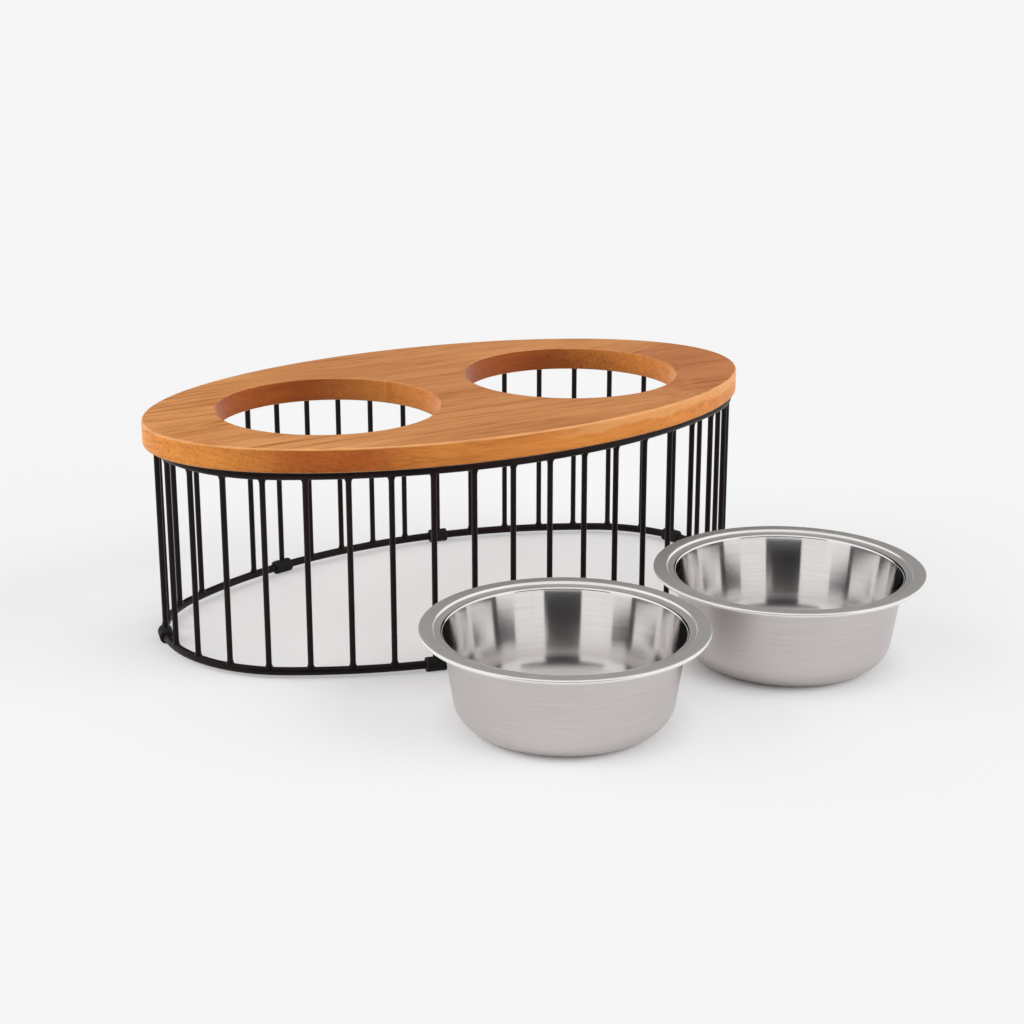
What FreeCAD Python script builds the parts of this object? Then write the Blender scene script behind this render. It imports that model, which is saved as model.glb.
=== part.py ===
import FreeCAD, Part
import math
import os
import Sketcher

# Elevated feeder: an oval board with two bowl holes on a cage of welded wire, and the two
# steel bowls that hang in the holes, here standing on the floor in front of the cage.
# Millimetres. X runs along the board, -Y is the front and Z is up. The origin is on the
# floor, under the middle of the board.

SIZES = {
    # Board
    "board_length": 500,
    "board_width": 290,
    "board_thickness": 18,
    "board_edge_radius": 2.5,
    "stand_height": 174,
    "hole_web": 44,
    "hole_gap": 1.5,
    "hole_edge_radius": 1.5,
    # Cage
    "ring_wire": 6.2,
    "ring_end_inset": 11,
    "ring_side_inset": 4.5,
    "upright_wire": 4.3,
    # Feet
    "foot_diameter": 11,
    "foot_length": 15,
    "foot_flat_depth": 0.4,
    # Fixing tabs and their screws
    "tab_width": 16,
    "tab_reach": 13,
    "tab_thickness": 2,
    "screw_shank": 3.8,
    "screw_cover": 4,
    "screw_tip": 3,
    "screw_head": 8,
    "screw_crown": 4,
    "screw_head_height": 2.4,
    "screw_slack": 0.5,
    # Bowls
    "bowl_height": 70,
    "bowl_wall": 167,
    "bowl_wall_slope": 9.5,
    "bowl_bottom_radius": 21,
    "bowl_sheet": 0.8,
    "bowl_ledge": 6.5,
    "bowl_flange": 10,
    "bowl_step": 3.5,
    "bowl_bead": 3,
    # Where the bowls stand on the floor
    "bowl_left_shift": -52.6,
    "bowl_left_distance": 11.5,
    "bowl_side_gap": 6.1,
    "bowl_right_setback": 21.5,
}

# Uprights, numbered anticlockwise from the right end, and the part of a bay by which they
# all stand past the middle of the ends and sides
UPRIGHT_COUNT = 40
UPRIGHT_PHASE = 0.15

# The uprights that the feet sit under
FOOT_UPRIGHT_INDEX = {
    "foot_right_end": 1,
    "foot_back_right": 8,
    "foot_back_left": 13,
    "foot_left_end": 19,
    "foot_front_left": 27,
    "foot_front_right": 34,
}

# The shares of the ring's length at which the board is screwed down
TAB_SHARES = {
    "tab_right_end": 0.0,
    "tab_back": 0.25,
    "tab_left_end": 0.5,
    "tab_front": 0.75,
}

doc = FreeCAD.newDocument("elevated_feeder")
sheet = doc.addObject("Spreadsheet::Sheet", "Sizes")
for row, (alias, value) in enumerate(SIZES.items(), start=1):
    sheet.set(f"A{row}", alias)
    sheet.set(f"B{row}", str(value))
    sheet.setAlias(f"B{row}", alias)
doc.recompute()

# Expressions that several pieces share
BOARD_UNDERSIDE = "(Sizes.stand_height - Sizes.board_thickness)"
HOLE_RADIUS = "(Sizes.bowl_wall / 2 + Sizes.hole_gap)"
HOLE_OFFSET = f"(Sizes.hole_web / 2 + {HOLE_RADIUS})"
WIRE_RADIUS = "(Sizes.ring_wire / 2)"
TOP_RING_HEIGHT = f"({BOARD_UNDERSIDE} - {WIRE_RADIUS})"
BOTTOM_RING_HEIGHT = "(Sizes.foot_diameter / 2 - Sizes.foot_flat_depth)"
PILOT_DEPTH = "(Sizes.board_thickness - Sizes.screw_cover)"
SCREW_BITE = f"({PILOT_DEPTH} - Sizes.screw_tip)"
TAB_LAP = f"({WIRE_RADIUS} / 2)"
RIM_RADIUS = "(Sizes.bowl_wall / 2 + Sizes.bowl_ledge + Sizes.bowl_flange)"

# The rings' centreline is an oval of four tangent arcs, two ends and two longer sides, drawn
# as the usual four-centred stand-in for an ellipse
HALF_LENGTH = "(Sizes.board_length / 2 - Sizes.ring_end_inset)"
HALF_WIDTH = "(Sizes.board_width / 2 - Sizes.ring_side_inset)"
SQUARES = f"({HALF_LENGTH}^2 + {HALF_WIDTH}^2)"
END_RADIUS = (f"(({SQUARES} - ({HALF_LENGTH} - {HALF_WIDTH}) * sqrt({SQUARES}))"
              f" / (2 * {HALF_LENGTH}))")
SIDE_RADIUS = (f"(({SQUARES} - 2 * {HALF_LENGTH} * {END_RADIUS})"
               f" / (2 * ({HALF_WIDTH} - {END_RADIUS})))")
END_CENTRE = f"({HALF_LENGTH} - {END_RADIUS})"
SIDE_CENTRE = f"({SIDE_RADIUS} - {HALF_WIDTH})"
END_HALF_ANGLE = f"atan2({SIDE_CENTRE}; {END_CENTRE})"

# Two lengths closer than this are taken as equal
TOLERANCE = 1e-4


def number(expression):
    value = sheet.evalExpression(expression)
    return float(getattr(value, "Value", value))


def add(kind, name, **expressions):
    """Adds an object whose sizes are bound to the sheet."""
    made = doc.addObject(kind, name)
    for prop, expression in expressions.items():
        made.setExpression(prop.replace("__", "."), expression)
    return made


def fuse(name, pieces):
    made = doc.addObject("Part::MultiFuse", name)
    made.Shapes = pieces
    return made


def compound(name, pieces):
    made = doc.addObject("Part::Compound", name)
    made.Links = pieces
    return made


def cut(name, base, tool):
    made = doc.addObject("Part::Cut", name)
    made.Base = base
    made.Tool = tool
    return made


def plane(body, role):
    return [item for item in body.Origin.OriginFeatures if item.Role == role][0]


def new_sketch(body, name, role):
    sketch = body.newObject("Sketcher::SketchObject", name)
    sketch.AttachmentSupport = (plane(body, role), "")
    sketch.MapMode = "FlatFace"
    return sketch


def bind(sketch, constraint, expression):
    index = sketch.addConstraint(constraint)
    sketch.setExpression(f"Constraints[{index}]", expression)


def bind_point(sketch, geometry, vertex, across, up):
    """Ties one point of a sketch to the sheet, as distances from the sketch's origin."""
    origin = (-1, 1)
    up_axis = -2
    flat_axis = -1
    for direction, expression, axis in (("X", across, up_axis), ("Y", up, flat_axis)):
        distance = number(expression)
        if distance == 0:
            sketch.addConstraint(Sketcher.Constraint("PointOnObject", geometry, vertex, axis))
            continue
        rule = Sketcher.Constraint(f"Distance{direction}", *origin, geometry, vertex, distance)
        bind(sketch, rule, expression)


def closed_profile(sketch, corners):
    """Draws a closed outline of straight lines through corners given as expressions."""
    points = [FreeCAD.Vector(number(across), number(up), 0) for across, up in corners]
    following = points[1:] + points[:1]
    for start, end in zip(points, following):
        sketch.addGeometry(Part.LineSegment(start, end), False)
    last = len(points) - 1
    for index in range(len(points)):
        before = index - 1 if index else last
        sketch.addConstraint(Sketcher.Constraint("Coincident", before, 2, index, 1))
    for index, (across, up) in enumerate(corners):
        bind_point(sketch, index, 1, across, up)


def round_edges(body, base, name, chosen, radius):
    """Rounds the edges of a feature that the test picks out."""
    edges = [f"Edge{i}" for i, edge in enumerate(base.Shape.Edges, start=1) if chosen(edge)]
    fillet = body.newObject("PartDesign::Fillet", name)
    fillet.Base = (base, edges)
    fillet.setExpression("Radius", radius)
    doc.recompute()
    return fillet


def is_circle(edge, radius, height=None):
    if not isinstance(edge.Curve, Part.Circle):
        return False
    level = height is None or abs(edge.Curve.Center.z - height) < TOLERANCE
    return level and abs(edge.Curve.Radius - radius) < TOLERANCE


# Rings
def ring_arcs():
    """The oval's arcs, anticlockwise from the right end: centre, radius, start, sweep."""
    end_centre = number(END_CENTRE)
    side_centre = number(SIDE_CENTRE)
    end_radius = number(END_RADIUS)
    side_radius = number(SIDE_RADIUS)
    half = math.radians(number(END_HALF_ANGLE))
    side = math.pi - 2 * half
    return [
        (end_centre, 0, end_radius, 0, half),
        (0, -side_centre, side_radius, half, side),
        (-end_centre, 0, end_radius, math.pi - half, 2 * half),
        (0, side_centre, side_radius, math.pi + half, side),
        (end_centre, 0, end_radius, 2 * math.pi - half, half),
    ]


def ring_station(share):
    """The point at a share of the ring's length, and the direction that faces outwards."""
    arcs = ring_arcs()
    left = share % 1.0 * sum(radius * sweep for _, _, radius, _, sweep in arcs)
    for across, deep, radius, start, sweep in arcs:
        if left <= radius * sweep:
            break
        left -= radius * sweep
    angle = start + left / radius
    outward = FreeCAD.Vector(math.cos(angle), math.sin(angle), 0)
    return FreeCAD.Vector(across, deep, 0) + outward * radius, outward


def make_ring(name, height):
    """One wire bent to the oval and closed by a weld."""
    sides = f"180 deg - 2 * {END_HALF_ANGLE}"
    ends = f"2 * {END_HALF_ANGLE}"
    half = number(END_HALF_ANGLE)
    pieces = []
    for label, radius, sweep, turn, across, deep in (
        ("right", END_RADIUS, ends, -half, END_CENTRE, "0"),
        ("back", SIDE_RADIUS, sides, half, "0", f"-{SIDE_CENTRE}"),
        ("left", END_RADIUS, ends, 180 - half, f"-{END_CENTRE}", "0"),
        ("front", SIDE_RADIUS, sides, 180 + half, "0", SIDE_CENTRE),
    ):
        bend = add("Part::Torus", f"{name}_{label}_bend", Radius1=radius, Radius2=WIRE_RADIUS,
                   Angle3=sweep)
        bend.Placement.Rotation = FreeCAD.Rotation(FreeCAD.Vector(0, 0, 1), turn)
        bend.setExpression("Placement.Base.x", across)
        bend.setExpression("Placement.Base.y", deep)
        bend.setExpression("Placement.Base.z", height)
        pieces.append(bend)
    return fuse(name, pieces)


top_ring = make_ring("top_ring", TOP_RING_HEIGHT)
bottom_ring = make_ring("bottom_ring", BOTTOM_RING_HEIGHT)
both_rings = compound("both_rings", [top_ring, bottom_ring])
nodes = [top_ring, bottom_ring]

# Uprights, coped to the two rings
upright_rods = {}
for index in range(1, UPRIGHT_COUNT + 1):
    point, _ = ring_station((index + UPRIGHT_PHASE) / UPRIGHT_COUNT)
    point.z = number(BOTTOM_RING_HEIGHT)
    rod = add("Part::Cylinder", f"upright_rod_{index:02d}", Radius="Sizes.upright_wire / 2",
              Height=f"{TOP_RING_HEIGHT} - {BOTTOM_RING_HEIGHT}")
    rod.Placement.Base = point
    upright_rods[index] = rod
    nodes.append(cut(f"upright_{index:02d}", rod, both_rings))

# Feet: sleeves round the bottom ring under an upright, pressed flat by the floor
below_floor = add("Part::Box", "below_floor", Length="Sizes.board_length",
                  Width="Sizes.board_width", Height="Sizes.foot_diameter",
                  Placement__Base__x="-Sizes.board_length / 2",
                  Placement__Base__y="-Sizes.board_width / 2",
                  Placement__Base__z="-Sizes.foot_diameter")
for name, index in FOOT_UPRIGHT_INDEX.items():
    point, outward = ring_station((index + UPRIGHT_PHASE) / UPRIGHT_COUNT)
    point.z = number(BOTTOM_RING_HEIGHT)
    along = FreeCAD.Vector(-outward.y, outward.x, 0)
    sleeve = add("Part::Cylinder", f"{name}_sleeve", Radius="Sizes.foot_diameter / 2",
                 Height="Sizes.foot_length")
    start = point - along * (sheet.foot_length / 2)
    sleeve.Placement = FreeCAD.Placement(start, FreeCAD.Rotation(FreeCAD.Vector(0, 0, 1), along))
    tools = compound(f"{name}_cuts", [bottom_ring, below_floor, upright_rods[index]])
    nodes.append(cut(name, sleeve, tools))


# Fixing tabs inside the top ring, and their screws
def station_frame(share):
    """A placement on the board's underside, with X pointing inwards from the ring."""
    point, outward = ring_station(share)
    point.z = number(BOARD_UNDERSIDE)
    turn = math.degrees(math.atan2(-outward.y, -outward.x))
    return FreeCAD.Placement(point, FreeCAD.Rotation(FreeCAD.Vector(0, 0, 1), turn))


def shifted(frame, across=0.0, along=0.0, up=0.0):
    offset = FreeCAD.Placement(FreeCAD.Vector(across, along, up), FreeCAD.Rotation())
    return frame.multiply(offset)


def make_tab(name, share):
    """A tongue welded to the ring's inner side, with a hole for one screw."""
    frame = station_frame(share)
    plate = add("Part::Box", f"{name}_plate", Length=f"Sizes.tab_reach - {TAB_LAP}",
                Width="Sizes.tab_width", Height="Sizes.tab_thickness")
    plate.Placement = shifted(frame, number(TAB_LAP), -sheet.tab_width / 2, -sheet.tab_thickness)
    tongue = add("Part::Cylinder", f"{name}_tongue", Radius="Sizes.tab_width / 2",
                 Height="Sizes.tab_thickness")
    tongue.Placement = shifted(frame, sheet.tab_reach, 0, -sheet.tab_thickness)
    hole = add("Part::Cylinder", f"{name}_hole",
               Radius="Sizes.screw_shank / 2 + Sizes.screw_slack", Height="Sizes.tab_thickness")
    hole.Placement = tongue.Placement
    tools = compound(f"{name}_cuts", [hole, top_ring])
    return cut(name, fuse(f"{name}_blank", [plate, tongue]), tools)


def make_screw(name, share):
    """A round-headed wood screw, from below through the tab into the board."""
    frame = station_frame(share)
    reach = sheet.tab_reach
    under_tab = -sheet.tab_thickness
    head = add("Part::Cone", f"{name}_head", Radius1="Sizes.screw_crown / 2",
               Radius2="Sizes.screw_head / 2", Height="Sizes.screw_head_height")
    head.Placement = shifted(frame, reach, 0, under_tab - sheet.screw_head_height)
    shank = add("Part::Cylinder", f"{name}_shank", Radius="Sizes.screw_shank / 2",
                Height=f"Sizes.tab_thickness + {SCREW_BITE}")
    shank.Placement = shifted(frame, reach, 0, under_tab)
    tip = add("Part::Cone", f"{name}_tip", Radius1="Sizes.screw_shank / 2", Radius2="0",
              Height="Sizes.screw_tip")
    tip.Placement = shifted(frame, reach, 0, number(SCREW_BITE))
    return fuse(name, [head, shank, tip])


for name, share in TAB_SHARES.items():
    nodes.append(make_tab(name, share))
screws = [make_screw(name.replace("tab", "screw"), share) for name, share in TAB_SHARES.items()]
nodes.append(compound("board_screws", screws))


# Board
def make_board():
    """The oval board, with two bowl holes and a blind pilot hole for each screw."""
    body = doc.addObject("PartDesign::Body", "top_board")
    outline = new_sketch(body, "board_outline", "XY_Plane")
    middle = FreeCAD.Vector(0, 0, 0)
    outline.addGeometry(Part.Ellipse(middle, sheet.board_length / 2, sheet.board_width / 2), False)
    outline.exposeInternalGeometry(0)
    outline.addConstraint(Sketcher.Constraint("Coincident", 0, 3, -1, 1))
    outline.addConstraint(Sketcher.Constraint("Horizontal", 1))
    bind(outline, Sketcher.Constraint("Distance", 1, sheet.board_length), "Sizes.board_length")
    bind(outline, Sketcher.Constraint("Distance", 2, sheet.board_width), "Sizes.board_width")
    pad = body.newObject("PartDesign::Pad", "board_blank")
    pad.Profile = outline
    pad.setExpression("Length", "Sizes.board_thickness")

    holes = new_sketch(body, "bowl_holes", "XY_Plane")
    for index, side in enumerate(("-", "")):
        across = side + HOLE_OFFSET
        centre = FreeCAD.Vector(number(across), 0, 0)
        normal = FreeCAD.Vector(0, 0, 1)
        holes.addGeometry(Part.Circle(centre, normal, number(HOLE_RADIUS)), False)
        bind_point(holes, index, 3, across, "0")
        bind(holes, Sketcher.Constraint("Radius", index, number(HOLE_RADIUS)), HOLE_RADIUS)
    bored = body.newObject("PartDesign::Pocket", "bowl_hole_cut")
    bored.Profile = holes
    bored.Type = "ThroughAll"
    bored.Reversed = True

    pilots = new_sketch(body, "pilot_holes", "XY_Plane")
    shank = "Sizes.screw_shank / 2"
    for index, share in enumerate(TAB_SHARES.values()):
        centre = shifted(station_frame(share), sheet.tab_reach).Base
        centre.z = 0
        normal = FreeCAD.Vector(0, 0, 1)
        pilots.addGeometry(Part.Circle(centre, normal, number(shank)), False)
        bind_point(pilots, index, 3, str(round(centre.x, 6)), str(round(centre.y, 6)))
        bind(pilots, Sketcher.Constraint("Radius", index, number(shank)), shank)
    drilled = body.newObject("PartDesign::Pocket", "pilot_hole_cut")
    drilled.Profile = pilots
    drilled.Reversed = True
    drilled.setExpression("Length", PILOT_DEPTH)
    doc.recompute()

    rim = round_edges(body, drilled, "board_edges",
                      lambda edge: isinstance(edge.Curve, Part.Ellipse), "Sizes.board_edge_radius")
    radius = number(HOLE_RADIUS)
    body.Tip = round_edges(body, rim, "hole_edges",
                           lambda edge: is_circle(edge, radius), "Sizes.hole_edge_radius")
    body.setExpression("Placement.Base.z", BOARD_UNDERSIDE)
    return body


nodes.append(make_board())


# Bowls
def make_bowl(name, across, deep):
    """A pressed steel bowl: flat base, sloping wall, a ledge that seats on the board,
    a short step up to the flange, and a bead rolled round the flange's edge."""
    body = doc.addObject("PartDesign::Body", name)
    wall = "(Sizes.bowl_wall / 2)"
    base = "(Sizes.bowl_wall / 2 - Sizes.bowl_wall_slope)"
    sheet_metal = "Sizes.bowl_sheet"
    bead = "(Sizes.bowl_bead / 2)"
    bead_circle = f"({RIM_RADIUS} - {bead})"
    step = f"({RIM_RADIUS} - Sizes.bowl_flange)"
    rim_top = "Sizes.bowl_height"
    ledge_top = "(Sizes.bowl_height - Sizes.bowl_step)"
    section = new_sketch(body, f"{name}_section", "XZ_Plane")
    closed_profile(section, [
        ("0", "0"),
        (base, "0"),
        (wall, f"{ledge_top} - {sheet_metal}"),
        (f"{step} + {sheet_metal}", f"{ledge_top} - {sheet_metal}"),
        (f"{step} + {sheet_metal}", f"{rim_top} - {sheet_metal}"),
        (bead_circle, f"{rim_top} - {sheet_metal}"),
        (bead_circle, rim_top),
        (step, rim_top),
        (step, ledge_top),
        (f"{wall} - {sheet_metal}", ledge_top),
        (f"{base} - {sheet_metal}", sheet_metal),
        ("0", sheet_metal),
    ])
    pressed = body.newObject("PartDesign::Revolution", f"{name}_pressing")
    pressed.Profile = section
    pressed.ReferenceAxis = (section, ["V_Axis"])
    pressed.Angle = 360
    doc.recompute()

    outer = number(base)
    inner = number(f"{base} - {sheet_metal}")
    rounded = round_edges(body, pressed, f"{name}_outer_round",
                          lambda edge: is_circle(edge, outer, 0), "Sizes.bowl_bottom_radius")
    rounded = round_edges(body, rounded, f"{name}_inner_round",
                          lambda edge: is_circle(edge, inner, sheet.bowl_sheet),
                          "Sizes.bowl_bottom_radius - Sizes.bowl_sheet")
    rolled = body.newObject("PartDesign::AdditiveTorus", f"{name}_bead")
    rolled.setExpression("Radius1", bead_circle)
    rolled.setExpression("Radius2", bead)
    rolled.setExpression("Placement.Base.z", f"{rim_top} - {bead}")
    body.Tip = rolled
    body.setExpression("Placement.Base.x", across)
    body.setExpression("Placement.Base.y", deep)
    return body


LEFT_ACROSS = "Sizes.bowl_left_shift"
LEFT_DEEP = f"(-(Sizes.board_width / 2 + {RIM_RADIUS} + Sizes.bowl_left_distance))"
nodes.append(make_bowl("bowl_left", LEFT_ACROSS, LEFT_DEEP))
nodes.append(make_bowl("bowl_right", f"{LEFT_ACROSS} + 2 * {RIM_RADIUS} + Sizes.bowl_side_gap",
                       f"{LEFT_DEEP} + Sizes.bowl_right_setback"))

doc.recompute()

for made in doc.Objects:
    if {"Invalid", "Error"} & set(made.State):
        raise RuntimeError(f"{made.Name} did not build: {made.State}")
for node in nodes:
    if node.Shape.isNull() or not node.Shape.isValid():
        raise RuntimeError(f"{node.Label} has no valid shape")

os.makedirs("parts", exist_ok=True)
for node in nodes:
    node.Shape.exportStep(f"parts/{node.Label}.step")
    print(node.Label, len(node.Shape.Solids), round(node.Shape.Volume, 1))
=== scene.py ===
import math

import bmesh
import bpy
from mathutils import Matrix, Vector


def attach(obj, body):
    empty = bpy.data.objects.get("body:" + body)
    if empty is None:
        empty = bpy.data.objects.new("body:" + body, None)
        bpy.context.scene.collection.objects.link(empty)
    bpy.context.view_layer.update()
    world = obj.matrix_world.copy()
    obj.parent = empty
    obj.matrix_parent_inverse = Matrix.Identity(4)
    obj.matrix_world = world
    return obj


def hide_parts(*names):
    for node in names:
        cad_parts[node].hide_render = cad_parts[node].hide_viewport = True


# Elevated feeder: an oval board with two bowl holes on a cage of black wire, and two steel
# bowls on the floor in front. Metres, in the frame of the solids: X along the board, -Y to
# the front, Z up, and the floor at Z = 0.

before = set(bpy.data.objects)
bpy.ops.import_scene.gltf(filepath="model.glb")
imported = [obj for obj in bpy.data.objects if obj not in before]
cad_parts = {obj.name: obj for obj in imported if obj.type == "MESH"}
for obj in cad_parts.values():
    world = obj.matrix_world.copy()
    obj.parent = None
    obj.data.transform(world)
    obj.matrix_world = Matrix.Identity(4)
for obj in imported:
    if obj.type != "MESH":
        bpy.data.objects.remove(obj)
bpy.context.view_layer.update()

MM = 0.001

# Board
BOARD_HALF_LENGTH = 250 * MM
BOARD_HALF_WIDTH = 145 * MM
BOARD_TOP = 174 * MM
BOARD_UNDERSIDE = 156 * MM
BOARD_EDGE_RADIUS = 1.8 * MM
BOARD_EDGE_FLAT = 0.8 * MM
HOLE_OFFSET = 107 * MM
HOLE_RADIUS = 85 * MM
HOLE_EDGE_RADIUS = 1.2 * MM

# Cage
RING_HALF_LENGTH = 239 * MM
RING_HALF_WIDTH = 140.5 * MM
RING_WIRE_RADIUS = 3.1 * MM
RING_WIRE_SIDES = 20
RING_STEP = 5 * MM
TOP_RING_HEIGHT = 152.9 * MM
BOTTOM_RING_HEIGHT = 5.1 * MM
UPRIGHT_COUNT = 40
UPRIGHT_PHASE = 0.15
UPRIGHT_SIDES = 16

# An upright's end, from inside the ring to the bare wire, in millimetres: the rise from the
# ring's surface, and the half widths out from the ring and along it
WELD_FILLET = [(-1.4, 2.75, 4.3), (-0.5, 2.6, 3.6), (0.3, 2.45, 2.95), (1.1, 2.28, 2.5),
               (2.2, 2.17, 2.22), (3.4, 2.15, 2.15)]

# Feet
FOOT_RADIUS = 5.5 * MM
FOOT_LENGTH = 15 * MM
FOOT_BORE_RADIUS = RING_WIRE_RADIUS + 0.1 * MM
FOOT_END_ROUNDING = 0.7 * MM
FOOT_SIDES = 40
GROOVE_PLACES = (-3.6 * MM, -1.2 * MM, 1.2 * MM, 3.6 * MM)
GROOVE_DEPTH = 0.28 * MM
GROOVE_HALF_TOP = 0.45 * MM
GROOVE_HALF_FLOOR = 0.2 * MM
GROOVE_ROUNDING = 0.12 * MM
FOOT_UPRIGHT_INDEX = {
    "foot_right_end": 1,
    "foot_back_right": 8,
    "foot_back_left": 13,
    "foot_left_end": 19,
    "foot_front_left": 27,
    "foot_front_right": 34,
}

# Fixing tabs and screws, which keep the shape of their solids
TAB_NODES = ("tab_right_end", "tab_back", "tab_left_end", "tab_front")
SCREW_NODE = "board_screws"

# Bowls
BOWL_CENTRES = {
    "left": (-52.6 * MM, -256.5 * MM),
    "right": (153.5 * MM, -235 * MM),
}
BOWL_SPIN_STEPS = 192

# A bowl's outside and inside, in millimetres: the radius, the height and the rounding
BOWL_OUTER = [(0, 0, 0), (74, 0, 21), (83.6, 64.9, 3.2), (89.2, 65.8, 1.2), (90.4, 69.2, 0.6),
              (97.17, 69.2, 0)]
BOWL_INNER = [(98.5, 70, 0), (90.2, 70, 0.9), (89.2, 68.5, 0.9), (83.4, 67.3, 1.8),
              (73.2, 0.8, 20.2), (0, 0.8, 0)]
BOWL_ARC_STEPS = 12
BEAD_CENTRE = (98.5 * MM, 68.5 * MM)
BEAD_RADIUS = 1.5 * MM
BEAD_SPAN = (152, 450)
BEAD_STEPS = 18
RIM_START = 84.6 * MM

# Two points closer than this are one point
MERGE_DISTANCE = 1e-6


# Shader maths
class Socket:
    """A shader socket that takes Python's arithmetic."""

    def __init__(self, tree, output=None):
        self.tree = tree
        self.output = output

    def node(self, kind, settings=None, inputs=None, out=0):
        made = self.tree.nodes.new(kind)
        for name, value in (settings or {}).items():
            if name == "stops":
                set_stops(made.color_ramp, value)
            else:
                setattr(made, name, value)
        for name, value in (inputs or {}).items():
            if isinstance(value, Socket):
                self.tree.links.new(value.output, made.inputs[name])
            else:
                made.inputs[name].default_value = value
        return Socket(self.tree, made.outputs[out])

    def math(self, operation, *values, clamp=False):
        settings = {"operation": operation, "use_clamp": clamp}
        return self.node("ShaderNodeMath", settings, dict(enumerate(values)))

    def __add__(self, other):
        return self.math("ADD", self, other)

    def __radd__(self, other):
        return self.math("ADD", other, self)

    def __sub__(self, other):
        return self.math("SUBTRACT", self, other)

    def __rsub__(self, other):
        return self.math("SUBTRACT", other, self)

    def __mul__(self, other):
        return self.math("MULTIPLY", self, other)

    def __rmul__(self, other):
        return self.math("MULTIPLY", other, self)

    def __truediv__(self, other):
        return self.math("DIVIDE", self, other)

    def __pow__(self, other):
        return self.math("POWER", self, other)

    def between(self, low, high):
        """0 below low, 1 above high, and a smooth step between them."""
        settings = {"interpolation_type": "SMOOTHSTEP"}
        inputs = {"Value": self, "From Min": low, "From Max": high}
        return self.node("ShaderNodeMapRange", settings, inputs)

    def mixed(self, first, second):
        """A colour that goes from first to second as this value goes from 0 to 1."""
        inputs = {0: self, 6: first, 7: second}
        return self.node("ShaderNodeMix", {"data_type": "RGBA"}, inputs, out=2)

    def stained(self, colour, stain):
        """A colour multiplied by a stain as this value goes from 0 to 1."""
        settings = {"data_type": "RGBA", "blend_type": "MULTIPLY"}
        return self.node("ShaderNodeMix", settings, {0: self, 6: colour, 7: stain}, out=2)

    def at(self, across=1.0, deep=1.0, up=1.0):
        """A vector stretched along each axis."""
        inputs = {0: self, 1: (across, deep, up)}
        return self.node("ShaderNodeVectorMath", {"operation": "MULTIPLY"}, inputs)

    def noise(self, scale, detail=2.0, roughness=0.5, distortion=0.0):
        inputs = {"Vector": self, "Scale": scale, "Detail": detail, "Roughness": roughness,
                  "Distortion": distortion}
        return self.node("ShaderNodeTexNoise", None, inputs)

    def parts(self):
        """The three numbers of a vector."""
        split = self.node("ShaderNodeSeparateXYZ", None, {0: self}).output.node
        return [Socket(self.tree, output) for output in split.outputs]

    def vector(self, across, deep, up):
        return self.node("ShaderNodeCombineXYZ", None, {0: across, 1: deep, 2: up})

    def bump(self, strength, distance):
        inputs = {"Height": self, "Strength": strength, "Distance": distance}
        return self.node("ShaderNodeBump", None, inputs)

    def size(self):
        """The value without its sign."""
        return self.math("ABSOLUTE", self)

    def root(self):
        return self.math("SQRT", self)


def set_stops(ramp, stops):
    while len(ramp.elements) < len(stops):
        ramp.elements.new(1.0)
    for element, (position, colour) in zip(ramp.elements, stops):
        element.position = position
        element.color = (*colour, 1.0)


def new_material(name, colour):
    """A material with one principled shader, and the wrapper that adds nodes to it."""
    material = bpy.data.materials.new(name)
    material.use_nodes = True
    material.diffuse_color = (*colour, 1.0)
    tree = material.node_tree
    shader = tree.nodes["Principled BSDF"]
    shader.inputs["Base Color"].default_value = (*colour, 1.0)
    return material, shader, Socket(tree)


def feed(shader, **sockets):
    """Links or sets the shader's sockets; an underscore in a name stands for a space."""
    for name, value in sockets.items():
        target = shader.inputs[name.replace("_", " ")]
        if isinstance(value, Socket):
            value.tree.links.new(value.output, target)
        else:
            target.default_value = value


def place_of(nodes):
    return nodes.node("ShaderNodeTexCoord", out=3)


# Lacquered wood
WOOD_LINE = (0.26, 0.075, 0.018)
WOOD_BROWN = (0.415, 0.147, 0.042)
WOOD_HONEY = (0.60, 0.251, 0.092)
WOOD_PALE = (0.735, 0.343, 0.138)
# Pale sapwood and wear, also a painted highlight on the top outer edge
WOOD_SAP_WEAR_AND_HIGHLIGHT = (0.82, 0.41, 0.155, 1.0)
# The sides' colour: deeper stain on the sawn sides and partly painted shade
SIDE_STAIN_AND_SHADE = (1.12, 0.92, 0.46, 1.0)
# Painted shade on the front left side, where it faces the camera
PAINTED_FRONT_SHADE = (0.60, 0.40, 0.30, 1.0)
# Painted shade on the walls of the holes
HOLE_SHADE = (0.44, 0.28, 0.19, 1.0)
TIP_STAIN = (0.80, 0.70, 0.66, 1.0)
RED_STAIN = (0.86, 0.78, 0.84, 1.0)
LIGHT_STAIN = (1.19, 1.24, 1.20, 1.0)
SEAM_DEPTH = 45.5 * MM
BLOCK_START = (186 * MM, 30.7 * MM)
BLOCK_SLOPE = 0.36
RINGS_PER_METRE = 190
HEART_DEPTH = -30 * MM
HEART_HEIGHT = 20 * MM

# Where a change in the wood, and the painted shade on the front edge, starts and where it is
# complete, in metres along the board
BOLD_END = (-0.10, -0.185)
PALE_END = (-0.05, -0.22)
DARK_TIP = (0.205, 0.242)
FRONT_SHADE_LEFT = (-0.225, -0.175)
FRONT_SHADE_RIGHT = (-0.08, -0.14)
BLOCK_END = (0.12, 0.185)
GLUE_END = (0.15, 0.19)
SAPWOOD = (-0.01, 0.06)


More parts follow.
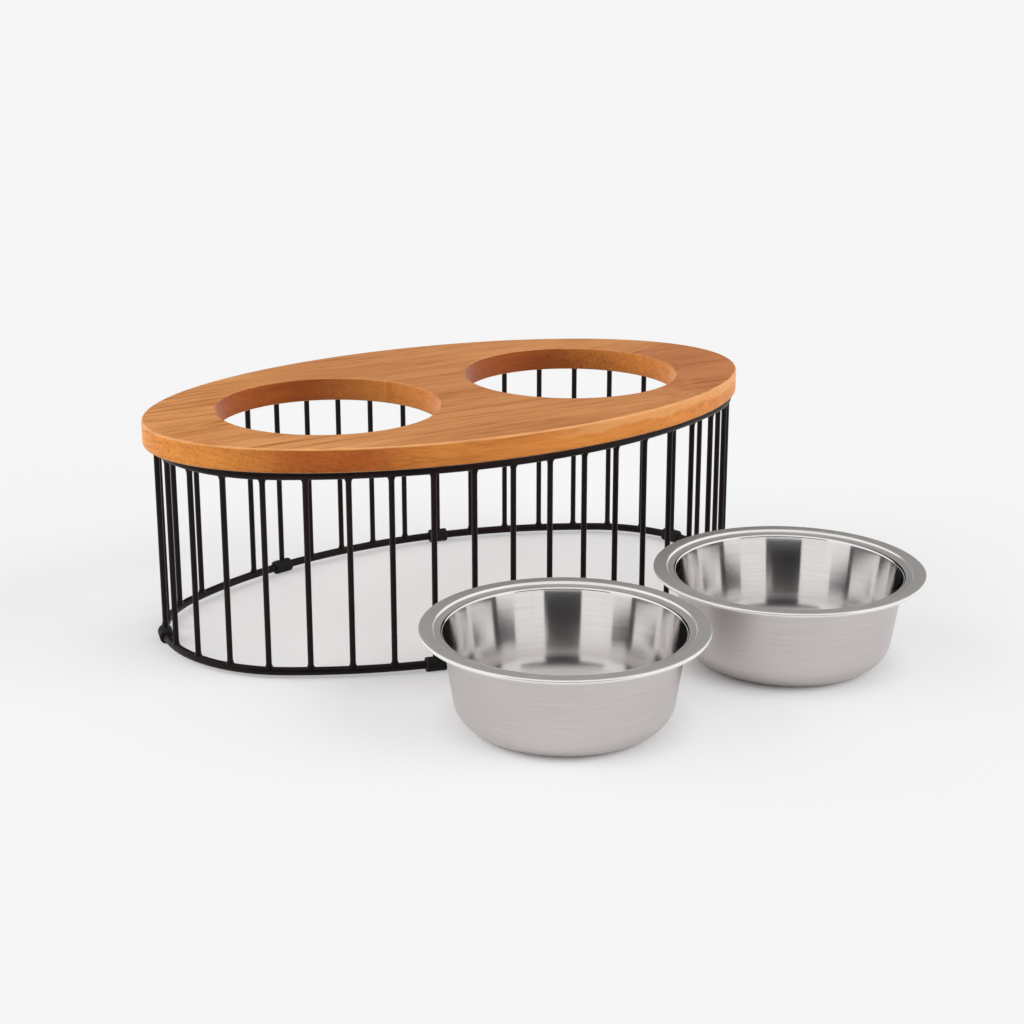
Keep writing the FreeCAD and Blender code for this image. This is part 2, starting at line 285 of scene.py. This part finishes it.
def lacquered_wood():
    """Honey-stained wood under satin lacquer, with the grain along the board."""
    material, shader, nodes = new_material("lacquered_wood", WOOD_HONEY)
    place = place_of(nodes)
    across, deep, up = place.parts()
    facing = nodes.node("ShaderNodeNewGeometry", out=1).parts()[2]
    flat = facing.size()

    # Two staves meet at a seam, and a redder block is let in at the right end
    back_stave = deep.between(SEAM_DEPTH - 0.0002, SEAM_DEPTH + 0.0002)
    block_line = (deep - BLOCK_START[1]) - (across - BLOCK_START[0]) * BLOCK_SLOPE
    red_block = block_line.between(0.0006, -0.0006) * across.between(*BLOCK_END)
    along = across + back_stave * 0.61 + red_block * 0.27

    # Growth lines, streaks and fibres, all drawn out along the board
    wander = nodes.vector(along * 3.2, deep * 9, up * 9).noise(1.0, 2.0, 0.5) - 0.5
    ripple = nodes.vector(along * 16, deep * 42, up * 42).noise(1.0, 2.0, 0.5) - 0.5
    cross = deep + wander * 0.042 + ripple * 0.0042
    height = up + wander * 0.016 + ripple * 0.002
    heart = (cross - HEART_DEPTH) ** 2.0 + (height - HEART_HEIGHT) ** 2.0
    rings = heart.root() * RINGS_PER_METRE
    year = rings.math("FRACT", rings)
    late_wood = year.between(0.58, 0.95) * year.between(1.0, 0.96)
    bold = nodes.vector(along * 5, cross * 26, height * 26).noise(1.0, 2.0, 0.5)
    bold = bold.between(0.46, 0.72)
    left_end = across.between(*BOLD_END)
    streak = nodes.vector(along * 6, cross * 95, height * 95).noise(1.0, 3.0, 0.6)
    fibre = nodes.vector(along * 18, cross * 540, height * 540).noise(1.0, 4.0, 0.7)
    line = late_wood * (0.16 + bold * 0.46 + left_end * 0.50) * (0.35 + flat * 0.65)
    line = line * (0.5 + fibre.between(0.58, 0.38) * 0.8)
    cloud = nodes.vector(along * 7, deep * 15, up * 60).noise(1.0, 3.0, 0.55)
    tone = 0.63 + (streak - 0.5) * 0.50 + (fibre - 0.5) * 1.05 + (cloud - 0.5) * 0.62
    tone = tone - line * 0.46
    stops = [(0.0, WOOD_LINE), (0.3, WOOD_BROWN), (0.62, WOOD_HONEY), (1.0, WOOD_PALE)]
    colour = nodes.node("ShaderNodeValToRGB", {"stops": stops}, {0: tone})
    pores = nodes.vector(along * 70, cross * 1250, height * 1250).noise(1.0, 1.0, 0.5)
    pores = pores.between(0.64, 0.75)
    colour = (pores * 0.32).mixed(colour, (*WOOD_BROWN, 1.0))

    # Wood grows paler to the left end
    colour = across.between(*PALE_END).stained(colour, LIGHT_STAIN)

    # Stain lies deeper on the sawn sides, which also carry painted shade that keeps them darker
    # than the lit top, and the block is redder
    far = (across / BOARD_HALF_LENGTH) ** 2.0 + (deep / BOARD_HALF_WIDTH) ** 2.0
    outside = far.between(0.955, 0.975)
    side = flat.between(0.72, 0.25)
    colour = side.stained(colour, SIDE_STAIN_AND_SHADE)
    # Painted shade on the front left side, where it faces the camera
    front_shade = across.between(*FRONT_SHADE_LEFT) * across.between(*FRONT_SHADE_RIGHT) * deep.between(0.0, -0.03)
    colour = (front_shade * side * outside).stained(colour, PAINTED_FRONT_SHADE)
    colour = (across.between(*DARK_TIP) * side * outside).stained(colour, TIP_STAIN)
    # Painted shade in the holes, full on their left, back and front walls and a fifth of it on
    # their right walls
    hole_side = across - across.math("SIGN", across) * HOLE_OFFSET
    hole_shade_share = 1 - hole_side.between(0.015, 0.08) * 0.8
    colour = (side * (1 - outside) * hole_shade_share).stained(colour, HOLE_SHADE)
    colour = (red_block * flat).stained(colour, RED_STAIN)

    # Dark glue lines
    seam = (deep - SEAM_DEPTH).size().between(0.0011, 0.0003)
    seam = seam * (0.25 + left_end * 0.6)
    glue = block_line.size().between(0.0012, 0.0003) * across.between(*GLUE_END)
    dark = nodes.math("MAXIMUM", seam, glue * 0.7) * flat
    colour = (dark * 0.75).mixed(colour, (*WOOD_LINE, 1.0))

    # A pale streak of sapwood along the front, and the top outer edge rubbed pale all round the
    # oval, partly wear and partly a painted highlight on the rounded edge
    ragged = place.noise(34, 4.0, 0.62)
    sap = (up + (ragged - 0.5) * 0.013).between(BOARD_TOP - 0.0088, BOARD_TOP - 0.0052)
    sap = sap * across.between(*SAPWOOD) * deep.between(-0.03, -0.07) * side * outside
    colour = (sap * 0.55).mixed(colour, WOOD_SAP_WEAR_AND_HIGHLIGHT)
    rounded = flat.between(0.12, 0.45) * flat.between(0.995, 0.90)
    wear_and_highlight = rounded * outside * up.between(BOARD_UNDERSIDE + 0.008, BOARD_TOP - 0.005)
    wear_and_highlight = wear_and_highlight * (0.45 + ragged.between(0.35, 0.6) * 0.55)
    colour = (wear_and_highlight * 0.85).mixed(colour, WOOD_SAP_WEAR_AND_HIGHLIGHT)

    relief = fibre * 0.5 + streak * 0.3 - pores * 0.6 - line * 0.25
    feed(shader, Base_Color=colour, Roughness=0.40 + fibre * 0.12 + line * 0.05,
         Normal=relief.bump(0.16, 0.0004), Coat_Weight=0.07, Coat_Roughness=0.28,
         Coat_IOR=1.45, IOR=1.45, Specular_IOR_Level=0.32)
    return material


# Powder-coated wire, rubber and zinc
COAT_BLACK = (0.007, 0.006, 0.006)
COAT_DARK = (0.003, 0.0018, 0.0018, 1.0)
COAT_RUBBED = (0.009, 0.0056, 0.0055, 1.0)
COAT_GLEAM = (1.0, 0.76, 0.76, 1.0)
RUBBER_BLACK = (0.016, 0.016, 0.016)
RUBBER_DARK = (0.006, 0.006, 0.006, 1.0)
RUBBER_BLOOM = (0.016, 0.015, 0.014, 1.0)
ZINC_GREY = (0.62, 0.62, 0.60)
ZINC_DARK = (0.50, 0.50, 0.49, 1.0)
ZINC_BRIGHT = (0.70, 0.69, 0.66, 1.0)


def powder_coat():
    """Satin black powder coat with a fine orange peel, dusty where it is rubbed."""
    material, shader, nodes = new_material("black_powder_coat", COAT_BLACK)
    place = place_of(nodes)
    peel = place.noise(1500, 2.0, 0.5)
    patches = place.noise(45, 3.0, 0.6)
    colour = patches.between(0.35, 0.75).mixed(COAT_DARK, COAT_RUBBED)
    feed(shader, Base_Color=colour, Roughness=0.34 + patches * 0.14,
         Normal=peel.bump(0.10, 0.0002), IOR=1.5, Specular_IOR_Level=0.2,
         Specular_Tint=COAT_GLEAM)
    return material


def black_rubber():
    """Matt moulded sleeve with a fine bloom."""
    material, shader, nodes = new_material("black_rubber", RUBBER_BLACK)
    place = place_of(nodes)
    bloom = place.noise(120, 4.0, 0.6)
    grain = place.noise(2200, 1.0, 0.5)
    colour = bloom.mixed(RUBBER_DARK, RUBBER_BLOOM)
    feed(shader, Base_Color=colour, Roughness=0.55 + bloom * 0.2,
         Normal=grain.bump(0.15, 0.0002), IOR=1.45, Specular_IOR_Level=0.25)
    return material


def zinc_steel():
    """Bright zinc plate on the screws, with faint turning marks."""
    material, shader, nodes = new_material("zinc_steel", ZINC_GREY)
    place = place_of(nodes)
    marks = place.at(1.0, 1.0, 4.0).noise(900, 2.0, 0.5)
    colour = marks.mixed(ZINC_DARK, ZINC_BRIGHT)
    feed(shader, Base_Color=colour, Metallic=1.0, Roughness=0.28 + marks * 0.16,
         Normal=marks.bump(0.06, 0.0002))
    return material


# Stainless steel of the bowls
STEEL_SATIN = (0.635, 0.592, 0.586)
STEEL_POLISH = (0.97, 0.935, 0.92)
STEEL_RIM = (0.93, 0.875, 0.85)
# Heights of the inside's rougher foot, whose darker tint is partly painted shade
SATIN_SHADED_FOOT = (24 * MM, 3 * MM)
LINES_PER_METRE = 1500
SWEEPS_PER_METRE = 260


def lines_round(east, north, reach, up, along, per_metre, detail):
    """Noise drawn out round a bowl's axis, and fine across it."""
    inputs = {"Vector": east.vector(east * along, north * along, reach * per_metre),
              "W": up * per_metre, "Scale": 1.0, "Detail": detail, "Roughness": 0.6}
    return east.node("ShaderNodeTexNoise", {"noise_dimensions": "4D"}, inputs)


def spun_steel(name, centre, tint, roughness, anisotropy, line_depth, haze, foot_roughness=0.0,
               mirror=1.0):
    """Stainless steel with fine lines round the bowl's axis, rougher at its foot if asked, with a
    darker satin tint there that is partly painted shade.
    """
    material, shader, nodes = new_material(name, tint)
    place = place_of(nodes)
    across, deep, up = place.parts()
    east = across - centre[0]
    north = deep - centre[1]
    reach = (east * east + north * north).root()
    lines = lines_round(east, north, reach, up, 22, LINES_PER_METRE, 2.0)
    sweeps = lines_round(east, north, reach, up, 5, SWEEPS_PER_METRE, 3.0)
    smears = place.noise(16, 3.0, 0.55)
    dull = [value * 0.82 for value in tint]
    bright = [min(value * 1.14, 1.0) for value in tint]
    worked = lines + (sweeps - 0.5) * 0.15 + (smears - 0.5) * 0.3
    colour = worked.mixed((*dull, 1.0), (*bright, 1.0))
    finish = roughness + (lines - 0.5) * haze + (sweeps - 0.5) * haze + (smears - 0.5) * haze
    if foot_roughness:
        # A rougher satin foot, its darker tint partly painted shade
        foot = up.between(*SATIN_SHADED_FOOT)
        colour = foot.mixed(colour, (*STEEL_SATIN, 1.0))
        finish = finish + foot * foot_roughness
    feed(shader, Base_Color=colour, Metallic=mirror, Roughness=finish,
         Normal=(lines * 0.85 + sweeps * 0.15).bump(line_depth, 0.0001),
         Anisotropic=anisotropy, Anisotropic_Rotation=0.25)
    return material


# Mesh tools
def new_piece(bm, name, materials, body, nodes, sharp_angle=38, mirrored=True):
    """Closes a mesh and makes it the piece for those nodes, which the steel may mirror or not."""
    bmesh.ops.remove_doubles(bm, verts=bm.verts, dist=MERGE_DISTANCE)
    bmesh.ops.recalc_face_normals(bm, faces=bm.faces)
    mesh = bpy.data.meshes.new(name)
    bm.to_mesh(mesh)
    bm.free()
    mesh.shade_smooth()
    mesh.set_sharp_from_angle(angle=math.radians(sharp_angle))
    for material in materials:
        mesh.materials.append(material)
    piece = bpy.data.objects.new(name, mesh)
    piece.visible_glossy = mirrored
    bpy.context.scene.collection.objects.link(piece)
    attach(piece, body)
    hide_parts(*nodes)


def circle_edges(bm, radius, segments, place):
    """A circle in a bmesh, placed by a matrix: its vertices and edges."""
    verts = bmesh.ops.create_circle(bm, segments=segments, radius=radius, matrix=place)["verts"]
    return verts, list({edge for vert in verts for edge in vert.link_edges})


def loft(bm, radius, segments, places):
    """Draws a circle out through a list of matrices: the edges of its first and last loop."""
    first = circle_edges(bm, radius, segments, places[0])[1]
    edges = first
    for before, after in zip(places, places[1:]):
        made = bmesh.ops.extrude_edge_only(bm, edges=edges)["geom"]
        verts = {item for item in made if isinstance(item, bmesh.types.BMVert)}
        edges = [item for item in made
                 if isinstance(item, bmesh.types.BMEdge) and verts.issuperset(item.verts)]
        bmesh.ops.transform(bm, matrix=after @ before.inverted(), verts=list(verts))
    return first, edges


def arc(centre_across, centre_up, radius, start, end, steps):
    """Points round part of a circle, with the angles in degrees."""
    points = []
    for step in range(steps + 1):
        angle = math.radians(start + (end - start) * step / steps)
        points.append(Vector((centre_across + radius * math.cos(angle),
                              centre_up + radius * math.sin(angle))))
    return points


def rounded_line(corners, arc_steps=8, longest=3 * MM):
    """A line through corners of (across, up, rounding), with the long runs divided."""
    points = [Vector(corners[0][:2])]
    for before, corner, after in zip(corners, corners[1:], corners[2:]):
        here = Vector(corner[:2])
        back = (Vector(before[:2]) - here).normalized()
        ahead = (Vector(after[:2]) - here).normalized()
        half = back.angle(ahead) / 2
        middle = here + (back + ahead).normalized() * (corner[2] / math.sin(half))
        reach = corner[2] / math.tan(half)
        first = here + back * reach - middle
        last = here + ahead * reach - middle
        turn = first.angle_signed(last)
        for step in range(arc_steps + 1):
            spun = Matrix.Rotation(-turn * step / arc_steps, 2) @ first
            points.append(middle + spun)
    points.append(Vector(corners[-1][:2]))
    divided = [points[0]]
    for start, end in zip(points, points[1:]):
        count = max(1, math.ceil((end - start).length / longest))
        divided += [start.lerp(end, step / count) for step in range(1, count + 1)]
    return divided


def lathe(bm, points, place, steps):
    """Spins a line of (radius, height) points all round an axis, placed by a matrix."""
    verts = [bm.verts.new((point[0], 0.0, point[1])) for point in points]
    edges = [bm.edges.new(pair) for pair in zip(verts, verts[1:])]
    before = set(bm.verts) - set(verts)
    bmesh.ops.spin(bm, geom=verts + edges, cent=(0, 0, 0), axis=(0, 0, 1), dvec=(0, 0, 0),
                   angle=2 * math.pi, steps=steps, use_merge=True)
    made = [vert for vert in bm.verts if vert not in before]
    bmesh.ops.transform(bm, matrix=place, verts=made)


# Where things stand on the rings
def ring_arcs():
    """The ring's oval as arcs, anticlockwise from the right end: centre, radius, start, sweep."""
    squares = RING_HALF_LENGTH ** 2 + RING_HALF_WIDTH ** 2
    spare = RING_HALF_LENGTH - RING_HALF_WIDTH
    end_radius = (squares - spare * math.sqrt(squares)) / (2 * RING_HALF_LENGTH)
    side_radius = ((squares - 2 * RING_HALF_LENGTH * end_radius)
                   / (2 * (RING_HALF_WIDTH - end_radius)))
    end_centre = RING_HALF_LENGTH - end_radius
    side_centre = side_radius - RING_HALF_WIDTH
    half = math.atan2(side_centre, end_centre)
    side = math.pi - 2 * half
    return [
        (end_centre, 0, end_radius, 0, half),
        (0, -side_centre, side_radius, half, side),
        (-end_centre, 0, end_radius, math.pi - half, 2 * half),
        (0, side_centre, side_radius, math.pi + half, side),
        (end_centre, 0, end_radius, 2 * math.pi - half, half),
    ]


def ring_station(share, height):
    """A matrix on the ring's centreline: X points outwards, Y along the wire and Z up."""
    arcs = ring_arcs()
    left = share % 1.0 * sum(radius * sweep for _, _, radius, _, sweep in arcs)
    for across, deep, radius, start, sweep in arcs:
        if left <= radius * sweep:
            break
        left -= radius * sweep
    angle = start + left / radius
    point = Vector((across + radius * math.cos(angle), deep + radius * math.sin(angle), height))
    return Matrix.Translation(point) @ Matrix.Rotation(angle, 4, "Z")


# Board
def make_board(material):
    """The oval board: each rounded edge lofted from ovals, and flat faces filled between them."""
    bm = bmesh.new()
    outlines = [(0.0, BOARD_HALF_LENGTH, BOARD_HALF_WIDTH, -1, BOARD_EDGE_RADIUS, 320),
                (-HOLE_OFFSET, HOLE_RADIUS, HOLE_RADIUS, 1, HOLE_EDGE_RADIUS, 176),
                (HOLE_OFFSET, HOLE_RADIUS, HOLE_RADIUS, 1, HOLE_EDGE_RADIUS, 176)]
    underside = []
    top = []
    for across, half_length, half_width, grow, edge_radius, segments in outlines:
        flat = edge_radius + BOARD_EDGE_FLAT
        section = [Vector((flat, BOARD_UNDERSIDE))]
        section += arc(edge_radius, BOARD_UNDERSIDE + edge_radius, edge_radius, 270, 180, 6)
        section += arc(edge_radius, BOARD_TOP - edge_radius, edge_radius, 180, 90, 6)
        section += [Vector((flat, BOARD_TOP))]
        places = []
        for inset, height in section:
            spread = (half_length + grow * inset, half_width + grow * inset, 1, 1)
            places.append(Matrix.Translation((across, 0, height)) @ Matrix.Diagonal(spread))
        lowest, highest = loft(bm, 1.0, segments, places)
        underside += lowest
        top += highest
    for edges in (underside, top):
        bmesh.ops.triangle_fill(bm, use_beauty=True, edges=edges, normal=(0, 0, 1))
    new_piece(bm, "oval_board", [material], "stand", ["top_board"],
              mirrored=False)


# Cage
def make_ring(node, height, material):
    """One wire bent to the oval."""
    bm = bmesh.new()
    start = ring_station(0.0, height) @ Matrix.Rotation(math.pi / 2, 4, "X")
    verts, edges = circle_edges(bm, RING_WIRE_RADIUS, RING_WIRE_SIDES, start)
    profile = verts + edges
    for across, deep, radius, _, sweep in ring_arcs():
        steps = math.ceil(radius * sweep / RING_STEP)
        spun = bmesh.ops.spin(bm, geom=profile, cent=(across, deep, height), axis=(0, 0, 1),
                              dvec=(0, 0, 0), angle=sweep, steps=steps, use_merge=False)
        profile = spun["geom_last"]
    new_piece(bm, f"{node}_wire", [material], "stand", [node],
              mirrored=False)


def make_upright(index, material):
    """A straight wire with a small weld fillet at each end."""
    bm = bmesh.new()
    bottom = BOTTOM_RING_HEIGHT + RING_WIRE_RADIUS
    top = TOP_RING_HEIGHT - RING_WIRE_RADIUS
    loops = [(bottom + rise * MM, deep * MM, along * MM) for rise, deep, along in WELD_FILLET]
    loops += [(top - rise * MM, deep * MM, along * MM)
              for rise, deep, along in reversed(WELD_FILLET)]
    station = ring_station((index + UPRIGHT_PHASE) / UPRIGHT_COUNT, 0.0)
    places = [station @ Matrix.Translation((0, 0, height)) @ Matrix.Diagonal((deep, along, 1, 1))
              for height, deep, along in loops]
    loft(bm, 1.0, UPRIGHT_SIDES, places)
    bmesh.ops.holes_fill(bm, edges=bm.edges, sides=0)
    node = f"upright_{index:02d}"
    new_piece(bm, f"{node}_wire", [material], "stand", [node],
              sharp_angle=60, mirrored=False)


def make_foot(node, index, material):
    """A ribbed rubber sleeve round the bottom ring, flat where it stands on the floor."""
    bm = bmesh.new()
    half = FOOT_LENGTH / 2
    floor = FOOT_RADIUS - GROOVE_DEPTH
    corners = [(FOOT_BORE_RADIUS, -half, 0), (FOOT_RADIUS, -half, FOOT_END_ROUNDING)]
    for middle in GROOVE_PLACES:
        corners += [(FOOT_RADIUS, middle - GROOVE_HALF_TOP, GROOVE_ROUNDING),
                    (floor, middle - GROOVE_HALF_FLOOR, GROOVE_ROUNDING),
                    (floor, middle + GROOVE_HALF_FLOOR, GROOVE_ROUNDING),
                    (FOOT_RADIUS, middle + GROOVE_HALF_TOP, GROOVE_ROUNDING)]
    corners += [(FOOT_RADIUS, half, FOOT_END_ROUNDING), (FOOT_BORE_RADIUS, half, 0)]
    station = ring_station((index + UPRIGHT_PHASE) / UPRIGHT_COUNT, BOTTOM_RING_HEIGHT)
    place = station @ Matrix.Rotation(-math.pi / 2, 4, "X")
    lathe(bm, rounded_line(corners, 4), place, FOOT_SIDES)
    for vert in bm.verts:
        vert.co.z = max(vert.co.z, 0.0)
    new_piece(bm, f"{node}_sleeve", [material], "stand", [node], sharp_angle=50)


# Bowls
def make_bowl(side, outside, inside, rim):
    """A pressed bowl: flat base, sloping wall, shoulder, stepped flange and rolled bead."""
    bm = bmesh.new()
    bead = arc(*BEAD_CENTRE, BEAD_RADIUS, *BEAD_SPAN, BEAD_STEPS)
    outer_line, inner_line = [
        rounded_line([tuple(value * MM for value in corner) for corner in corners], BOWL_ARC_STEPS)
        for corners in (BOWL_OUTER, BOWL_INNER)]
    line = outer_line + bead[1:-1] + inner_line
    across, deep = BOWL_CENTRES[side]
    lathe(bm, line, Matrix.Translation((across, deep, 0)), BOWL_SPIN_STEPS)
    bmesh.ops.remove_doubles(bm, verts=bm.verts, dist=MERGE_DISTANCE)
    bmesh.ops.recalc_face_normals(bm, faces=bm.faces)
    for face in bm.faces:
        middle = face.calc_center_median()
        outward = Vector((middle.x - across, middle.y - deep, 0))
        facing_in = face.normal.dot(outward) < 0 or face.normal.z > 0.2
        face.material_index = 1 if facing_in else 0
        if outward.length > RIM_START:
            face.material_index = 2
    new_piece(bm, f"{side}_steel_bowl", [outside, inside, rim], f"{side}_bowl",
              [f"bowl_{side}"], sharp_angle=75)


wood = lacquered_wood()
wire_black = powder_coat()
rubber_black = black_rubber()
screw_zinc = zinc_steel()

make_board(wood)
make_ring("top_ring", TOP_RING_HEIGHT, wire_black)
make_ring("bottom_ring", BOTTOM_RING_HEIGHT, wire_black)
for number in range(1, UPRIGHT_COUNT + 1):
    make_upright(number, wire_black)
for foot, number in FOOT_UPRIGHT_INDEX.items():
    make_foot(foot, number, rubber_black)
for bowl, centre in BOWL_CENTRES.items():
    satin = spun_steel(f"{bowl}_bowl_satin", centre, STEEL_SATIN, roughness=0.36,
                       anisotropy=0.55, line_depth=0.06, haze=0.08)
    polish = spun_steel(f"{bowl}_bowl_polish", centre, STEEL_POLISH, roughness=0.10,
                        anisotropy=0.93, line_depth=0.01, haze=0.02, foot_roughness=0.22)
    brushed = spun_steel(f"{bowl}_bowl_rim", centre, STEEL_RIM, roughness=0.22,
                         anisotropy=0.3, line_depth=0.05, haze=0.08, mirror=0.62)
    make_bowl(bowl, satin, polish, brushed)

# Solids that keep their own shape
kept_solids = {tab: wire_black for tab in TAB_NODES}
kept_solids[SCREW_NODE] = screw_zinc
for node, material in kept_solids.items():
    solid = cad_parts[node]
    solid.data.materials.clear()
    solid.data.materials.append(material)


# Floor, light and camera
PALE = 0.91
ROOM_LIGHT = 0.32
FLOOR_BOUNCE = 0.45
CARD_DARK = (0.02, 0.02, 0.02, 1.0)
CARD_GREY = (0.25, 0.25, 0.25, 1.0)
CAMERA_AZIMUTH = -118.0
CAMERA_LENS = 71.624
CAMERA_PLACE = (-0.7289, -1.3643, 0.5597)
CAMERA_DIP = 17.4947
CAMERA_TURN = -29.8169
FLOOR_HALF_WIDTH = 30
CONTACT_SHADE = (58 * MM, 98 * MM)


def stage_piece(bm, name, material):
    """Makes a mesh a part of the set."""
    mesh = bpy.data.meshes.new(name)
    bm.to_mesh(mesh)
    bm.free()
    mesh.materials.append(material)
    piece = bpy.data.objects.new(name, mesh)
    bpy.context.scene.collection.objects.link(piece)
    return piece


def pale_floor():
    """A pale floor that keeps the shadows, and glows like the background away from the object."""
    material, shader, nodes = new_material("pale_floor", (PALE, PALE, PALE))
    light_path = nodes.node("ShaderNodeLightPath").output.node
    camera_ray = Socket(nodes.tree, light_path.outputs["Is Camera Ray"])
    glossy_ray = Socket(nodes.tree, light_path.outputs["Is Glossy Ray"])
    shown = nodes.math("MAXIMUM", camera_ray, glossy_ray)
    colour = shown.mixed((FLOOR_BOUNCE, FLOOR_BOUNCE, FLOOR_BOUNCE, 1), (PALE, PALE, PALE, 1))
    feed(shader, Base_Color=colour, Roughness=0.9, Specular_IOR_Level=0.0)
    bright = {"Color": (PALE, PALE, PALE, 1), "Strength": 1.0}
    glow = nodes.node("ShaderNodeEmission", None, bright)
    surface = Socket(nodes.tree, shader.outputs[0])
    across, deep, _ = place_of(nodes).parts()
    far = (across / BOARD_HALF_LENGTH) ** 2.0 + (deep / BOARD_HALF_WIDTH) ** 2.0
    share = 0.34 + far.between(0.9, 1.8) * 0.2 + far.between(2.2, 7.0) * 0.26
    for centre in BOWL_CENTRES.values():
        reach = ((across - centre[0]) ** 2.0 + (deep - centre[1]) ** 2.0).root()
        share = share * reach.between(*CONTACT_SHADE)
    mixed = nodes.node("ShaderNodeMixShader", None, {0: shown * share, 1: surface, 2: glow})
    nodes.tree.links.new(mixed.output, nodes.tree.nodes["Material Output"].inputs["Surface"])
    bm = bmesh.new()
    bmesh.ops.create_grid(bm, x_segments=1, y_segments=1, size=FLOOR_HALF_WIDTH)
    stage_piece(bm, "pale_floor", material)


def dark_card(name, azimuth, distance, half_width, low, high, fade):
    """A dark card at the edge of the set, paler from fade upwards, for the steel to mirror."""
    material, shader, nodes = new_material(name, CARD_DARK[:3])
    height = place_of(nodes).parts()[2]
    colour = height.between(fade, high).mixed(CARD_DARK, CARD_GREY)
    feed(shader, Base_Color=colour, Roughness=0.9, Specular_IOR_Level=0.0)
    bm = bmesh.new()
    bmesh.ops.create_grid(bm, x_segments=1, y_segments=1, size=1.0)
    middle = Matrix.Translation((0, distance, (low + high) / 2))
    stand = middle @ Matrix.Rotation(math.pi / 2, 4, "X")
    spread = Matrix.Diagonal((half_width, (high - low) / 2, 1, 1))
    turn = Matrix.Rotation(math.radians(azimuth - 90), 4, "Z")
    bmesh.ops.transform(bm, matrix=turn @ stand @ spread, verts=bm.verts)
    card = stage_piece(bm, name, material)
    card.visible_camera = False
    card.visible_diffuse = False
    card.visible_shadow = False


def studio_world():
    """A plain pale room, seen as it is by the camera and in reflections."""
    world = bpy.data.worlds.new("studio")
    bpy.context.scene.world = world
    world.use_nodes = True
    nodes = Socket(world.node_tree)
    light_path = nodes.node("ShaderNodeLightPath").output.node
    camera_ray = Socket(nodes.tree, light_path.outputs["Is Camera Ray"])
    glossy_ray = Socket(nodes.tree, light_path.outputs["Is Glossy Ray"])
    through_ray = Socket(nodes.tree, light_path.outputs["Is Transmission Ray"])
    shown = nodes.math("MAXIMUM", camera_ray, nodes.math("MAXIMUM", glossy_ray, through_ray))
    strength = ROOM_LIGHT + shown * (PALE - ROOM_LIGHT)
    background = world.node_tree.nodes["Background"]
    background.inputs["Color"].default_value = (1, 1, 1, 1)
    nodes.tree.links.new(strength.output, background.inputs["Strength"])


def soft_lamp(name, azimuth, elevation, strength, spread):
    """An even soft lamp that shines from a direction and isn't mirrored."""
    lamp = bpy.data.lights.new(name, "SUN")
    lamp.energy = strength
    lamp.angle = math.radians(spread)
    holder = bpy.data.objects.new(name, lamp)
    holder.rotation_euler = (math.radians(90 - elevation), 0, math.radians(azimuth + 90))
    holder.visible_glossy = False
    bpy.context.scene.collection.objects.link(holder)


pale_floor()
studio_world()
soft_lamp("left_softbox", CAMERA_AZIMUTH - 88, elevation=24, strength=2.7, spread=60)
soft_lamp("right_softbox", CAMERA_AZIMUTH + 72, elevation=22, strength=2.6, spread=60)
soft_lamp("overhead_softbox", CAMERA_AZIMUTH, elevation=88, strength=0.22, spread=90)
dark_card("card_behind_the_set", CAMERA_AZIMUTH + 180, distance=3.0, half_width=2.3,
          low=0.02, high=5.5, fade=3.0)
dark_card("card_behind_the_camera", CAMERA_AZIMUTH, distance=3.0, half_width=3.0,
          low=0.4, high=2.6, fade=2.0)

camera_data = bpy.data.cameras.new("camera")
camera_data.sensor_width = 36
camera_data.lens = CAMERA_LENS
camera = bpy.data.objects.new("camera", camera_data)
camera.location = CAMERA_PLACE
camera.rotation_euler = (math.radians(90 - CAMERA_DIP), 0, math.radians(CAMERA_TURN))
bpy.context.scene.collection.objects.link(camera)
bpy.context.scene.camera = camera
bpy.context.scene.view_settings.view_transform = "Standard"
